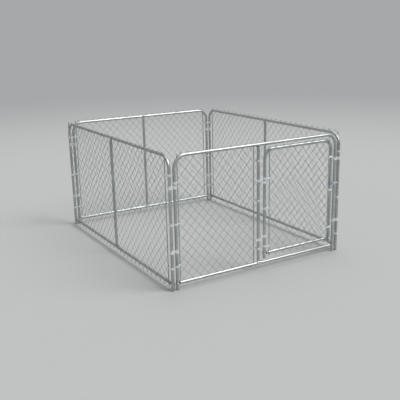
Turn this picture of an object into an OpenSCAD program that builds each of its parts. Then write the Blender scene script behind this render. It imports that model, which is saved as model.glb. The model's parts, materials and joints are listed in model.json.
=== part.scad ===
// Outdoor dog kennel run: four chain-link panels on bent steel tube frames, clamped together at the
// corners, with a swing gate and a fork latch in the front panel.
// Millimetres. X runs across the front, Y from the front to the rear, Z up.
// The origin is on the ground under the middle of the run.
// Each panel is drawn in its own frame: x along the panel from its middle, -y to the outside, z up.

/* [Run] */
// Distance between the post axes of the front panel, and of the rear panel
front_span = 1800; // [1500:10:2400]
// Distance between the post axes of a side panel
side_span = 2410; // [1800:10:3000]
// Height of the frames above the ground
panel_h = 1219; // [1000:1:1900]
// Gap between the two posts that a corner clamp holds
post_clear = 19.4; // [17:0.1:40]

/* [Tubes] */
// Outside diameter of the frame tubes
tube_od = 28.6; // [25:0.1:34]
// Wall of the frame tubes
tube_wall = 1.5; // [1:0.1:2.5]
// Bend radius of the panels' top corners, at the middle of the tube
corner_r = 115; // [80:1:180]
// Straight leg of an elbow beyond its bend
elbow_leg = 20; // [6:1:60]
// Length of an elbow's necked end, inside the post or the rail
neck_len = 45; // [20:1:80]
// Height of the bottom rails' axes above the ground
bottom_rail_z = 65; // [45:1:150]
// Width of a tube's flattened end
flat_w = 36; // [24:1:44]
// Length of the flattened end from the bolt to where it bends back to the tube
flat_run = 14; // [12:1:40]
// Length of the slanted stretch between the flattened end and the round tube
flat_slant = 12; // [10:1:50]
// Length of the flattened end past its bolt
flat_past = 11; // [8:1:20]

/* [Chain link] */
// Width of one diamond of the mesh
mesh_w = 86; // [60:1:130]
// Height of one diamond of the mesh
mesh_h = 95; // [60:1:130]
// How many times its real size a diamond of the side and rear meshes is drawn
wide_mesh_scale = 1.58; // [1.5:0.01:3]
// Thickness of the mesh wire
wire_d = 2.9; // [2:0.1:4]
// How deep the crossing wires sit in each other
wire_lap = 0.4; // [0.1:0.1:1]
// Height of the mesh's points above the top of a side or rear panel
mesh_rise = 14; // [0:1:30]
// Depth of the mesh's points below the underside of a bottom rail
mesh_drop = 17; // [0:1:30]
// Height of the front mesh's points above the top of the front panel
front_mesh_rise = 6; // [0:1:30]
// Width of a tension bar
bar_w = 9.5; // [6:0.1:16]
// Thickness of a tension bar
bar_t = 4.8; // [3:0.1:8]
// Distance from a post's axis to the middle of its tension bar
bar_offset = 40; // [36:1:60]
// How far a tension bar stops short of the mesh's points
bar_inset = 12; // [0:1:60]
// Thickness of a wire tie
tie_d = 2.5; // [1.5:0.1:4]
// Length of rail or post for each wire tie
tie_step = 390; // [200:10:800]
// Opening of a wire tie, on the side of the mesh, in degrees
tie_gap = 70; // [40:1:120]

/* [Fastenings] */
// Clearance between pieces that fit together
fit = 0.15; // [0.05:0.01:0.3]
// Thickness of a tension band's strap
band_t = 1.9; // [1:0.1:3]
// Width of a tension band
band_w = 19; // [12:1:30]
// Diameter of the bolts
bolt_d = 6.4; // [4:0.1:8]
// Diameter of a bolt's round head
head_d = 13; // [10:0.1:16]
// Height of a bolt's round head
head_h = 2.8; // [1.5:0.1:5]
// Width of a nut across its corners
nut_d = 12; // [9:0.1:15]
// Height of a nut
nut_h = 5; // [3:0.1:8]
// How far a bolt's thread stands out of its nut
thread_out = 2; // [0:0.1:6]
// Thickness of a corner clamp's web
clamp_t = 1.8; // [1:0.1:3]
// Thickness of a corner clamp at its two ribs
clamp_rib_t = 3.2; // [2:0.1:4.5]
// Height of a corner clamp
clamp_h = 30; // [20:1:50]
// Clearance round a bolt's head between the two ribs of a corner clamp
clamp_head_clear = 0.5; // [0.2:0.1:3]
// Gap between the two halves of a corner clamp
clamp_seam = 1.2; // [0.4:0.1:3]
// Front left corner: height of the lower clamp, and how far the upper one is below the top rail
front_left_clamps = [360, 269]; // [100:1:600]
// Front right corner: height of the lower clamp, and how far the upper one is below the top rail
front_right_clamps = [330, 243]; // [100:1:600]
// Rear corners: height of the lower clamp, and how far the upper one is below the top rail
rear_clamps = [350, 245]; // [100:1:600]
// Most posts: height of the lowest band, rise of the middle one above half-way, drop of the highest
post_bands = [212, -20, 160]; // [-200:1:500]
// Right panel's front post: height of the lowest band, rise of the middle one, drop of the highest
right_front_bands = [180, -42, 176]; // [-200:1:500]
// Front left post: height of the lowest band, and rise of the middle one above half-way
front_left_bands = [221, 10]; // [-200:1:500]
// Front left post: gap between its upper clamp and the highest band
clamp_band_gap = 11.5; // [2:0.5:60]
// Hinge post: height of the lowest band, rise of the middle one above half-way, drop of the highest
hinge_post_bands = [211, 47, 150]; // [-200:1:500]

/* [Gate] */
// Hinge post's place on the front panel, from the panel's middle
hinge_post_x = -26; // [-200:1:200]
// Gap between the hinge post and the gate's hinge stile
hinge_clear = 42.4; // [37:0.1:80]
// Drop of the gate's top rail below the panel's top rail, axis to axis
gate_top_drop = 53; // [48:1:120]
// Height of the gate's bottom rail above the panel's bottom rail, axis to axis
gate_bottom_rise = 86; // [60:1:160]
// Length of the gate's stiles below its bottom rail
stile_foot = 50; // [25:1:58]
// Bend radius of the gate's top corners, at the middle of the tube
gate_corner_r = 95; // [70:1:150]
// Height of the gate mesh's points above the top of its top rail
gate_mesh_rise = 14; // [0:1:20]
// Hinge stile: height of the lowest band, and rise of the middle one above half-way
hinge_stile_bands = [223, 44]; // [-200:1:500]
// Hinge stile: gap between its upper hinge and the highest band
hinge_band_gap = 14; // [2:0.5:60]
// Latch stile: height of the lowest band, and drop of the highest below the gate's top rail
latch_stile_bands = [273, 163]; // [50:1:500]
// Latch stile: gap between the loop of the fork's tail and the middle band
latch_band_gap = 3.5; // [2:0.5:60]

/* [Hinges] */
// Height of the lower hinge on the post
lower_hinge_z = 298; // [250:1:500]
// Drop of the upper hinge on the post below the panel's top rail
upper_hinge_drop = 337; // [200:1:450]
// Distance from the face of the hinge post to the axis of the hinge pins
pin_reach = 19.7; // [17:0.1:24]
// Diameter of a hinge pin
pin_d = 12; // [8:0.1:14]
// Clearance round a hinge pin
pin_clear = 0.25; // [0.05:0.01:0.5]
// Length of a hinge pin beyond its boss
pin_len = 34; // [26:1:60]
// Thickness of the hinges' straps
hinge_t = 2.5; // [1.5:0.1:4]
// Height of each half of a hinge
hinge_h = 24; // [16:1:40]
// Wall of the eye and the boss round a hinge pin
eye_wall = 3.6; // [2:0.1:6]
// Thickness of the arm between a strap and its pin
arm_t = 9; // [6:0.5:14]
// Length of a strap's ears, beyond the strap
ear_len = 14; // [13:0.5:18]
// Gap between a strap's ears
ear_gap = 3; // [1:0.5:6]
// Gap between the two halves of a hinge, where the gate rests
hinge_rest = 0.3; // [0.1:0.1:1]

/* [Latch] */
// Height of the latch's pivot
latch_z = 726; // [450:1:900]
// Height of the latch's collar on the stile
collar_h = 34; // [20:1:44]
// Clearance between the collar and the fork's round end
tongue_clear = 0.5; // [0.2:0.1:3]
// Clearance between the collar's ears and the fork's yoke
yoke_gap = 0.55; // [0.2:0.05:3]
// Thickness of the fork's yoke
yoke_t = 4.5; // [3:0.5:8]
// Clearance between the fork's yoke and the post
yoke_clear = 2.2; // [0.5:0.1:6]
// Thickness of the fork's tongue
tongue_t = 6; // [4:0.5:10]
// Thickness of the collar's ears
collar_ear_t = 2.2; // [1.5:0.1:4]
// Height of the fork's tongue and yoke
tongue_h = 12; // [9:1:18]
// Drop of the fork's prongs below its tongue
prong_drop = 8; // [0:1:14]
// Wall of the collar's ears beyond the fork's round end
collar_ear_wall = 1; // [0.5:0.5:4]
// Wall of the padlock eye
padlock_wall = 3.5; // [2:0.5:6]
// Thickness of the fork's prongs
prong_t = 5; // [3:0.5:8]
// Gap between a prong and the post
prong_gap = 1.2; // [0.5:0.1:3]
// Length of the prongs past the post's axis
prong_past = 18; // [15:1:40]
// Length of a prong's turned-out tip
tip_len = 9; // [5:1:15]
// Angle of a prong's turned-out tip
tip_angle = 20; // [5:1:40]
// Gap between the collar and the fork's tail in front of it
tail_gap = 0.65; // [0.3:0.05:2]
// Width of the fork's tail
tail_w = 9; // [6:0.5:12]
// Outside diameter of the loop on the fork's tail
loop_d = 36; // [28:1:44]
// Drop of the loop's middle below the pivot
loop_drop = 39; // [34:1:46]
// Drop of the padlock eye below the pivot
eye_drop = 28; // [22:1:32]
// Hole of the padlock eye
padlock_hole_d = 11; // [6:0.5:12]

/* [Hidden] */
$fn = 48;
small_fn = 24;
tube_r = tube_od / 2;
bore_r = tube_r - tube_wall;
top_z = panel_h - tube_r;
post_pitch = tube_od + post_clear;
side_x = front_span / 2 + post_pitch;
mid_x = 0;

// Necked ends of the elbows
neck_r = bore_r - fit;
neck_bore_r = neck_r - tube_wall;
neck_shoulder = min(2 * tube_wall, elbow_leg / 2);

// Flattened ends of the rails and mid posts
flat_t = 2 * tube_wall;
flat_y = tube_r + fit + flat_t / 2;
flat_end = flat_run + flat_slant;
bolt_hole_d = bolt_d + 2 * fit;
head_seat = fit;

// Tension bands, bars and meshes, as distances from the tube axes
strap_r = tube_r + fit;
band_r = strap_r + band_t;
bar_y0 = band_r + fit;
bar_y1 = bar_y0 + bar_t;
tail_y0 = bar_y1 + fit;
tail_y1 = tail_y0 + band_t;
tail_end = bar_offset + bar_w / 2;
band_bolt_x = (band_r + bar_offset - bar_w / 2) / 2;
mesh_t = 2 * wire_d - wire_lap;
mesh_y = (bar_y0 + bar_y1) / 2;
mesh_edge = bar_offset + bar_w / 2 + wire_d / 2 + fit;
mesh_z0 = bottom_rail_z - tube_r - mesh_drop;
mesh_z1 = panel_h + mesh_rise;
front_mesh_z1 = panel_h + front_mesh_rise;

// Latch, from the latch stile's axis to the front panel's right post
hinge_r = strap_r + hinge_t;
pivot_offset = hinge_r + tongue_clear + tongue_h / 2;
collar_ear_y = tongue_t / 2 + fit;
collar_ear_r = tongue_h / 2 + collar_ear_wall;
padlock_r = padlock_hole_d / 2 + padlock_wall;
yoke_x0 = collar_ear_r + yoke_gap;
yoke_x1 = yoke_x0 + yoke_t;
latch_gap = pivot_offset + yoke_x1 + yoke_clear + tube_r;
prong_y = tube_r + prong_gap;
tail_y = prong_y + prong_t;
tail_t = tail_y - hinge_r - tail_gap;

// Gate, in the front panel's frame
hinge_gap = tube_od + hinge_clear;
pin_offset = tube_r + pin_reach;
hinge_stile_x = hinge_post_x + hinge_gap;
latch_stile_x = front_span / 2 - latch_gap;
pivot_x = latch_stile_x + pivot_offset;
gate_mid_x = (hinge_stile_x + latch_stile_x) / 2;
gate_span = latch_stile_x - hinge_stile_x;
gate_top_z = top_z - gate_top_drop;
gate_bottom_z = bottom_rail_z + gate_bottom_rise;
gate_foot_z = gate_bottom_z - stile_foot;
gate_mesh_z0 = gate_bottom_z - tube_r - mesh_drop;
gate_mesh_z1 = gate_top_z + tube_r + gate_mesh_rise;

// Hinges
boss_r = pin_d / 2 + eye_wall;
ear_bolt_x = hinge_r + ear_len / 2;
upper_hinge_z = top_z - upper_hinge_drop;
hinge_step = hinge_h + hinge_rest;

// Corner clamps
clamp_rib_h = (clamp_h - head_d) / 2 - clamp_head_clear;

SIDE_OUT = -1;
SIDE_IN = 1;
GALVANISED = [0.74, 0.76, 0.77];
MESH_WIRE = [0.64, 0.67, 0.65];
ZINC = [0.80, 0.82, 0.83];
TIE_WIRE = [0.83, 0.84, 0.84];

// Places of the panels

module on_front() translate([0, -side_span / 2, 0]) children();
module on_rear() translate([0, side_span / 2, 0]) rotate(180) children();
module on_left() translate([-side_x, 0, 0]) rotate(-90) children();
module on_right() translate([side_x, 0, 0]) rotate(90) children();

// Turns a shape drawn along z so that it runs along x
module along_x() rotate([0, 90, 0]) children();

// Turns a shape drawn along z so that it runs along y
module along_y() rotate([-90, 0, 0]) children();

// Puts a bolt hole along y at each place [x, z]
module cross_holes(places)
    for (p = places)
        translate([p[0], 0, p[1]]) along_y() cylinder(d = bolt_hole_d, h = 2 * tube_od, center = true);

// Heights of three bands: the lowest, the one that rises above half-way, and the highest
function band_heights(low, rise, high) = [low, (low + high) / 2 + rise, high];

// Heights of the bands on the posts that have nothing else to clear
function plain_bands(setting) = band_heights(setting[0], setting[1], top_z - setting[2]);

// Heights of a corner's two clamps, from their setting
function clamp_heights(setting) = [setting[0], top_z - setting[1]];

// Places along a length for wire ties, evenly spaced and clear of its two ends
function tie_places(from, to) =
    let (count = max(2, round((to - from) / tie_step)))
    [for (i = [0 : count - 1]) from + (to - from) * (i + 0.5) / count];

// Tubes

module tube_section()
    difference() {
        circle(tube_r);
        circle(bore_r);
    }

module tube(length) linear_extrude(length) tube_section();

// Upright tube from z0 to the start of its elbow, with a hole for the bottom rail's bolt
module upright(x, z0, rail_z, bend_r, bolt_z)
    color(GALVANISED)
        difference() {
            translate([x, 0, z0]) tube(rail_z - bend_r - elbow_leg - z0);
            cross_holes([[x, bolt_z]]);
        }

// Straight top rail between two elbows, with holes for the bolts of the posts under it
module top_rail(x, span, rail_z, bend_r, bolt_xs = []) {
    length = span - 2 * (bend_r + elbow_leg);
    color(GALVANISED)
        difference() {
            translate([x - length / 2, 0, rail_z]) along_x() tube(length);
            cross_holes([for (b = bolt_xs) [b, rail_z]]);
        }
}

// Straight leg of an elbow with its necked end, along z from the neck's shoulder
module elbow_end()
    rotate_extrude()
        polygon([
            [bore_r, elbow_leg], [tube_r, elbow_leg], [tube_r, 0], [neck_r, 0], [neck_r, -neck_len],
            [neck_bore_r, -neck_len], [neck_bore_r, neck_shoulder], [bore_r, neck_shoulder]
        ]);

// Corner elbow of a frame: end is -1 at the frame's left and 1 at its right
module elbow(x, rail_z, bend_r, end)
    color(GALVANISED)
        translate([x, 0, rail_z - bend_r])
            mirror([end > 0 ? 1 : 0, 0, 0]) {
                translate([bend_r, 0, 0]) mirror([1, 0, 0]) rotate([90, 0, 0])
                    rotate_extrude(angle = 90) translate([bend_r, 0]) tube_section();
                translate([0, 0, -elbow_leg]) elbow_end();
                translate([bend_r + elbow_leg, 0, bend_r]) rotate([0, -90, 0]) elbow_end();
            }

// Flattened end of a tube: from its bolt, over the tube that it is bolted to, and back to its own axis
module flat_end(side) {
    path = [[-flat_past, flat_y], [flat_run, flat_y], [flat_end, 0], [flat_end + flat_t, 0]];
    difference() {
        scale([1, side, 1])
            linear_extrude(flat_w, center = true)
                polygon([
                    for (p = path) [p[0], p[1] + flat_t / 2],
                    for (i = [len(path) - 1 : -1 : 0]) [path[i][0], path[i][1] - flat_t / 2]
                ]);
        cross_holes([[0, 0]]);
    }
}

// Tube along x with flattened ends, bolted at x = 0 and x = span to the given sides
module pinched_tube(span, start_side, end_side, bolt_xs = []) {
    difference() {
        translate([flat_end, 0, 0]) along_x() tube(span - 2 * flat_end);
        cross_holes([for (b = bolt_xs) [b, 0]]);
    }
    for (cap = [flat_end, span - flat_end - flat_t])
        translate([cap, 0, 0]) along_x() cylinder(r = tube_r, h = flat_t);
    flat_end(start_side);
    translate([span, 0, 0]) mirror([1, 0, 0]) flat_end(end_side);
}

// Bottom rail between two posts, with holes for the bolts of the posts on it
module bottom_rail(x, span, rail_z, bolt_xs = [])
    color(GALVANISED)
        translate([x - span / 2, 0, rail_z])
            pinched_tube(span, SIDE_IN, SIDE_IN, [for (b = bolt_xs) b - x + span / 2]);

// Upright between the bottom rail and the top rail
module mid_post(x, bottom_side)
    color(GALVANISED)
        translate([x, 0, bottom_rail_z]) rotate([0, -90, 0])
            pinched_tube(top_z - bottom_rail_z, bottom_side, SIDE_IN);

// Chain link

// One straight wire of the mesh between two points [x, z], its layer starting at y0
module wire(p, q, y0) {
    run = q - p;
    translate([p[0], y0, p[1]]) rotate([0, -atan2(run[1], run[0]), 0]) translate([0, 0, -wire_d / 2])
        cube([norm(run), wire_d, wire_d]);
}

// Chain-link mesh from x0 to x1 and z0 to z1: its wires rise to the right in the outer layer and to
// the left in the inner layer, and end in points along the top and bottom
module mesh(x0, x1, z0, z1, side, size = 1) {
    columns = max(1, round((x1 - x0) / (mesh_w * size)));
    rows = max(1, round((z1 - z0) / (mesh_h * size)));
    a = (x1 - x0) / columns;
    b = (z1 - z0) / rows;
    color(MESH_WIRE)
        translate([x0, side * mesh_y - mesh_t / 2, z0]) {
            for (i = [0.5 - rows : columns - 0.5]) {
                low = max(0, -i);
                high = min(rows, columns - i);
                wire([a * (i + low), b * low], [a * (i + high), b * high], 0);
            }
            for (i = [0.5 : columns + rows - 0.5]) {
                low = max(0, i - columns);
                high = min(rows, i);
                wire([a * (i - low), b * low], [a * (i - high), b * high], wire_d - wire_lap);
            }
        }
}

module tension_bars(xs, z0, z1, side)
    color(GALVANISED)
        for (x = xs)
            translate([x, side * mesh_y, (z0 + z1) / 2])
                cube([bar_w, bar_t, z1 - z0 - 2 * bar_inset], center = true);

// Wire tie round a tube along z, open towards +x
module tie()
    color(TIE_WIRE)
        rotate(tie_gap / 2) rotate_extrude(angle = 360 - tie_gap)
            translate([tube_r + fit + tie_d / 2, 0]) circle(d = tie_d, $fn = small_fn);

// Ties along a rail between two places, open to the mesh
module rail_ties(from, to, rail_z, side)
    for (x = tie_places(from, to))
        translate([x, 0, rail_z]) along_x() rotate(90 * side) tie();

// Ties along an upright between two heights, open to the mesh
module post_ties(x, from, to, side)
    for (z = tie_places(from, to))
        translate([x, 0, z]) rotate(90 * side) tie();

// Fastenings

// Bolt along y through what lies between y0 and y1: round head at y0, nut at y1
module bolt(y0, y1) {
    way = sign(y1 - y0);
    color(ZINC)
        translate([0, y0, 0]) scale([1, way, 1]) along_y() {
            length = abs(y1 - y0);
            translate([0, 0, -head_h]) cylinder(d = head_d, h = head_h, $fn = small_fn);
            cylinder(d = bolt_d, h = length + nut_h + thread_out, $fn = small_fn);
            translate([0, 0, length]) cylinder(d = nut_d, h = nut_h, $fn = 6);
        }
}

// Tension band round a post: its tails run towards +x and hold the tension bar at the +y side
module tension_band()
    color(ZINC)
        difference() {
            linear_extrude(band_w, center = true)
                difference() {
                    union() {
                        circle(band_r);
                        translate([0, strap_r]) square([tail_end, band_t]);
                        polygon([
                            [-band_r * 0.55, band_r * 0.77], [band_bolt_x - bolt_d, tail_y0],
                            [tail_end, tail_y0], [tail_end, tail_y1],
                            [band_bolt_x - bolt_d - band_t / 2, tail_y1], [-band_r * 0.55, band_r * 0.92]
                        ]);
                    }
                    circle(strap_r);
                }
            translate([band_bolt_x, 0, 0]) along_y()
                cylinder(d = bolt_hole_d, h = 2 * tail_y1, $fn = small_fn);
        }

// Puts a band or its bolt on an upright at each height: way is 1 where the mesh is to its right
module at_bands(x, way, heights, side)
    for (z = heights)
        translate([x, 0, z]) scale([way, side, 1]) children();

module band_bolt() translate([band_bolt_x, 0, 0]) bolt(tail_y1, strap_r);

// Bolt of a flattened end that lies on the given side of the tube at [x, z]
module flat_end_bolt(x, z, side)
    translate([x, 0, z]) bolt(-side * (tube_r + head_seat), side * (flat_y + flat_t / 2));

// Outline of one half of a corner clamp: it holds two posts side by side on x, at the +y side
module clamp_outline(thickness)
    difference() {
        union() {
            for (way = [-1, 1]) translate([way * post_pitch / 2, 0]) circle(strap_r + thickness);
            translate([-post_pitch / 2, clamp_seam / 2]) square([post_pitch, thickness]);
        }
        for (way = [-1, 1]) translate([way * post_pitch / 2, 0]) circle(strap_r);
        translate([-post_pitch, clamp_seam / 2 - 2 * tube_od]) square([2 * post_pitch, 2 * tube_od]);
    }

module clamp_half()
    color(ZINC)
        difference() {
            union() {
                linear_extrude(clamp_h, center = true) clamp_outline(clamp_t);
                for (way = [-1, 1])
                    translate([0, 0, way * (clamp_h - clamp_rib_h) / 2])
                        linear_extrude(clamp_rib_h, center = true) clamp_outline(clamp_rib_t);
            }
            cross_holes([[0, 0]]);
        }

// Puts a clamp, or its bolt, at a corner: x_side and y_side are -1 or 1
module at_corner(x_side, y_side, heights)
    for (z = heights)
        translate([x_side * (front_span + post_pitch) / 2, y_side * side_span / 2, z]) children();

module at_corners() {
    at_corner(-1, -1, clamp_heights(front_left_clamps)) children();
    at_corner(1, -1, clamp_heights(front_right_clamps)) children();
    for (x_side = [-1, 1]) at_corner(x_side, 1, clamp_heights(rear_clamps)) rotate(180) children();
}

// Hinges

// Outline of a strap round an upright, with its ears towards -x and an arm towards a pin at +x
module hinge_outline(arm)
    difference() {
        union() {
            circle(hinge_r);
            translate([-hinge_r - ear_len, -ear_gap / 2 - hinge_t])
                square([hinge_r + ear_len, ear_gap + 2 * hinge_t]);
            translate([0, -arm_t / 2]) square([arm, arm_t]);
            translate([arm, 0]) circle(boss_r);
        }
        circle(strap_r);
        translate([-hinge_r - 2 * ear_len, -ear_gap / 2]) square([hinge_r + 2 * ear_len, ear_gap]);
    }

// Strap of a hinge with the holes for its ears' bolt
module hinge_strap(arm)
    difference() {
        linear_extrude(hinge_h, center = true) hinge_outline(arm);
        cross_holes([[-ear_bolt_x, 0]]);
    }

// Post half of a hinge: its pin points up where way is 1, and down where it is -1
module post_hinge(way)
    color(ZINC) {
        hinge_strap(pin_offset);
        translate([pin_offset, 0, 0]) scale([1, 1, way]) cylinder(d = pin_d, h = hinge_h / 2 + pin_len);
    }

// Gate half of a hinge, drawn at the stile with its eye towards -x
module gate_hinge() {
    arm = hinge_gap - pin_offset;
    color(ZINC)
        mirror([1, 0, 0])
            difference() {
                hinge_strap(arm);
                translate([arm, 0, 0]) cylinder(d = pin_d + 2 * pin_clear, h = 2 * hinge_h, center = true);
            }
}

module ear_bolt() bolt(-ear_gap / 2 - hinge_t, ear_gap / 2 + hinge_t);

// Latch, drawn at its pivot

// Ear of the latch's collar: the front one carries the padlock eye
module collar_ear(drop) {
    difference() {
        union() {
            along_y() cylinder(r = collar_ear_r, h = collar_ear_t);
            translate([-pivot_offset + tube_r, 0, -collar_ear_r])
                cube([pivot_offset - tube_r, collar_ear_t, 2 * collar_ear_r]);
            if (drop > 0) {
                translate([-collar_ear_r, 0, -drop]) cube([2 * collar_ear_r, collar_ear_t, drop]);
                translate([0, 0, -drop]) along_y() cylinder(r = padlock_r, h = collar_ear_t);
            }
        }
        cross_holes([[0, 0]]);
        if (drop > 0)
            translate([0, 0, -drop]) along_y() cylinder(d = padlock_hole_d, h = 4 * tube_od, center = true);
    }
}

// Prong of the fork, with its tip turned away from the post
module prong() {
    reach = latch_gap - pivot_offset + prong_past;
    low = -tongue_h / 2 - prong_drop;
    tall = tongue_h + prong_drop;
    translate([yoke_x0, 0, low]) cube([reach - yoke_x0, prong_t, tall]);
    translate([reach, 0, low]) rotate(tip_angle) cube([tip_len, prong_t, tall]);
}

// Tail of the fork: an arm in front of the collar, down to a loop in front of the stile
module fork_tail() {
    start = [yoke_x1, -tongue_h / 2];
    loop = [-pivot_offset, -loop_drop];
    run = loop - start;
    translate([0, -tail_y, 0])
        difference() {
            union() {
                translate([loop[0], 0, loop[1]]) along_y() cylinder(d = loop_d, h = tail_t);
                translate([start[0], 0, start[1]]) rotate([0, -atan2(run[1], run[0]), 0])
                    translate([0, 0, -tail_w / 2]) cube([norm(run), tail_t, tail_w]);
            }
            translate([loop[0], 0, loop[1]]) along_y()
                cylinder(d = loop_d - 2 * tail_w, h = 4 * tail_t, center = true);
        }
}

// Sub-parts that stand alone

module front_mesh()
    on_front() mesh(-front_span / 2 + mesh_edge, hinge_post_x - mesh_edge, mesh_z0, front_mesh_z1, SIDE_IN);

module gate_mesh()
    on_front()
        mesh(hinge_stile_x + mesh_edge, latch_stile_x - mesh_edge, gate_mesh_z0, gate_mesh_z1, SIDE_OUT);

module wide_mesh(span)
    mesh(-span / 2 + mesh_edge, span / 2 - mesh_edge, mesh_z0, mesh_z1, SIDE_OUT, wide_mesh_scale);

module wide_tension_bars(span)
    tension_bars([-span / 2 + bar_offset, span / 2 - bar_offset], mesh_z0, mesh_z1, SIDE_OUT);

// Bands of a side or rear panel, or their bolts
module at_wide_bands(span, first = post_bands) {
    at_bands(-span / 2, 1, plain_bands(first), SIDE_OUT) children();
    at_bands(span / 2, -1, plain_bands(post_bands), SIDE_OUT) children();
}

// Bands of the two posts that hold the front panel's mesh, or their bolts
module at_front_bands() {
    over_clamp = clamp_heights(front_left_clamps)[1] + clamp_h / 2 + clamp_band_gap + band_w / 2;
    at_bands(-front_span / 2, 1, band_heights(front_left_bands[0], front_left_bands[1], over_clamp), SIDE_IN)
        children();
    at_bands(hinge_post_x, -1, plain_bands(hinge_post_bands), SIDE_IN) children();
}

// Bands of the gate's two stiles, or their bolts
module at_gate_bands() {
    over_hinge = upper_hinge_z - hinge_step + hinge_h / 2 + hinge_band_gap + band_w / 2;
    under_loop = latch_z - loop_drop - loop_d / 2 - latch_band_gap - band_w / 2;
    at_bands(hinge_stile_x, 1, band_heights(hinge_stile_bands[0], hinge_stile_bands[1], over_hinge), SIDE_OUT)
        children();
    under_rail = gate_top_z - latch_stile_bands[1];
    at_bands(latch_stile_x, -1, [latch_stile_bands[0], under_loop, under_rail], SIDE_OUT) children();
}

module tension_bands() {
    on_left() at_wide_bands(side_span) tension_band();
    on_right() at_wide_bands(side_span, right_front_bands) tension_band();
    on_rear() at_wide_bands(front_span) tension_band();
    on_front() at_front_bands() tension_band();
}

// Bolts of the tension bands and of the post halves of the hinges
module band_bolts() {
    on_left() at_wide_bands(side_span) band_bolt();
    on_right() at_wide_bands(side_span, right_front_bands) band_bolt();
    on_rear() at_wide_bands(front_span) band_bolt();
    on_front() {
        at_front_bands() band_bolt();
        for (z = [lower_hinge_z, upper_hinge_z]) translate([hinge_post_x - ear_bolt_x, 0, z]) ear_bolt();
    }
}

// Ties of a side or rear panel: along both rails on each side of its mid post, and up the mid post
module wide_ties(span) {
    edge = corner_r + elbow_leg;
    for (rail_z = [bottom_rail_z, top_z]) {
        rail_ties(-span / 2 + edge, -flat_w, rail_z, SIDE_OUT);
        rail_ties(flat_w, span / 2 - edge, rail_z, SIDE_OUT);
    }
    post_ties(mid_x, bottom_rail_z + flat_end, top_z - flat_end, SIDE_OUT);
}

module wire_ties() {
    on_left() wide_ties(side_span);
    on_right() wide_ties(side_span);
    on_rear() wide_ties(front_span);
    on_front()
        for (rail_z = [bottom_rail_z, top_z])
            rail_ties(-front_span / 2 + corner_r + elbow_leg, hinge_post_x - flat_w, rail_z, SIDE_IN);
}

// Bolts of a side or rear panel's flattened ends
module wide_rail_bolts(span) {
    for (x = [-span / 2, span / 2]) flat_end_bolt(x, bottom_rail_z, SIDE_IN);
    for (z = [bottom_rail_z, top_z]) flat_end_bolt(mid_x, z, SIDE_IN);
}

module rail_bolts() {
    on_left() wide_rail_bolts(side_span);
    on_right() wide_rail_bolts(side_span);
    on_rear() wide_rail_bolts(front_span);
    on_front() {
        for (x = [-front_span / 2, front_span / 2]) flat_end_bolt(x, bottom_rail_z, SIDE_IN);
        flat_end_bolt(hinge_post_x, bottom_rail_z, SIDE_OUT);
        flat_end_bolt(hinge_post_x, top_z, SIDE_IN);
    }
}

module panel_clamps()
    at_corners() {
        clamp_half();
        mirror([0, 1, 0]) clamp_half();
    }

module clamp_bolts()
    at_corners() bolt(-clamp_seam / 2 - clamp_t, clamp_seam / 2 + clamp_t);

module post_hinges()
    on_front() {
        translate([hinge_post_x, 0, lower_hinge_z]) post_hinge(1);
        translate([hinge_post_x, 0, upper_hinge_z]) post_hinge(-1);
    }

module gate_tension_bands() on_front() at_gate_bands() tension_band();

// Bolts of the gate's tension bands and of the gate halves of the hinges
module gate_bolts()
    on_front() {
        at_gate_bands() band_bolt();
        for (z = [lower_hinge_z + hinge_step, upper_hinge_z - hinge_step])
            translate([hinge_stile_x + ear_bolt_x, 0, z]) ear_bolt();
    }

module gate_wire_ties()
    on_front() {
        rail_ties(hinge_stile_x + gate_corner_r + elbow_leg, latch_stile_x - gate_corner_r - elbow_leg,
            gate_top_z, SIDE_OUT);
        rail_ties(hinge_stile_x + flat_end, latch_stile_x - flat_end, gate_bottom_z, SIDE_OUT);
    }

module gate_rail_bolts()
    on_front()
        for (x = [hinge_stile_x, latch_stile_x]) flat_end_bolt(x, gate_bottom_z, SIDE_IN);

module gate_hinges()
    on_front()
        for (z = [lower_hinge_z + hinge_step, upper_hinge_z - hinge_step])
            translate([hinge_stile_x, 0, z]) gate_hinge();

module latch_collar()
    color(ZINC)
        on_front() translate([pivot_x, 0, latch_z])
            difference() {
                union() {
                    translate([-pivot_offset, 0, 0]) cylinder(r = hinge_r, h = collar_h, center = true);
                    translate([0, collar_ear_y, 0]) collar_ear(0);
                    translate([0, -collar_ear_y - collar_ear_t, 0]) collar_ear(eye_drop);
                }
                translate([-pivot_offset, 0, 0]) cylinder(r = strap_r, h = 2 * collar_h, center = true);
            }

module latch_pivot_bolt()
    on_front() translate([pivot_x, 0, latch_z])
        bolt(-collar_ear_y - collar_ear_t, collar_ear_y + collar_ear_t);

module latch_fork()
    color(ZINC)
        on_front() translate([pivot_x, 0, latch_z])
            difference() {
                union() {
                    along_y() cylinder(d = tongue_h, h = tongue_t, center = true);
                    translate([0, -tongue_t / 2, -tongue_h / 2]) cube([yoke_x1, tongue_t, tongue_h]);
                    translate([yoke_x0, -prong_y - prong_t, -tongue_h / 2])
                        cube([yoke_x1 - yoke_x0, 2 * (prong_y + prong_t), tongue_h]);
                    translate([0, prong_y, 0]) prong();
                    mirror([0, 1, 0]) translate([0, prong_y, 0]) prong();
                    fork_tail();
                }
                cross_holes([[0, 0]]);
            }

on_left() upright(side_span / 2, 0, top_z, corner_r, bottom_rail_z);  // left_front_post
on_left() upright(-side_span / 2, 0, top_z, corner_r, bottom_rail_z);  // left_rear_post
on_left() top_rail(0, side_span, top_z, corner_r, [mid_x]);  // left_top_rail
on_left() elbow(side_span / 2, top_z, corner_r, 1);  // left_front_elbow
on_left() elbow(-side_span / 2, top_z, corner_r, -1);  // left_rear_elbow
on_left() bottom_rail(0, side_span, bottom_rail_z, [mid_x]);  // left_bottom_rail
on_left() mid_post(mid_x, SIDE_IN);  // left_mid_post
on_left() wide_mesh(side_span);  // left_mesh
on_left() wide_tension_bars(side_span);  // left_tension_bars

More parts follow.
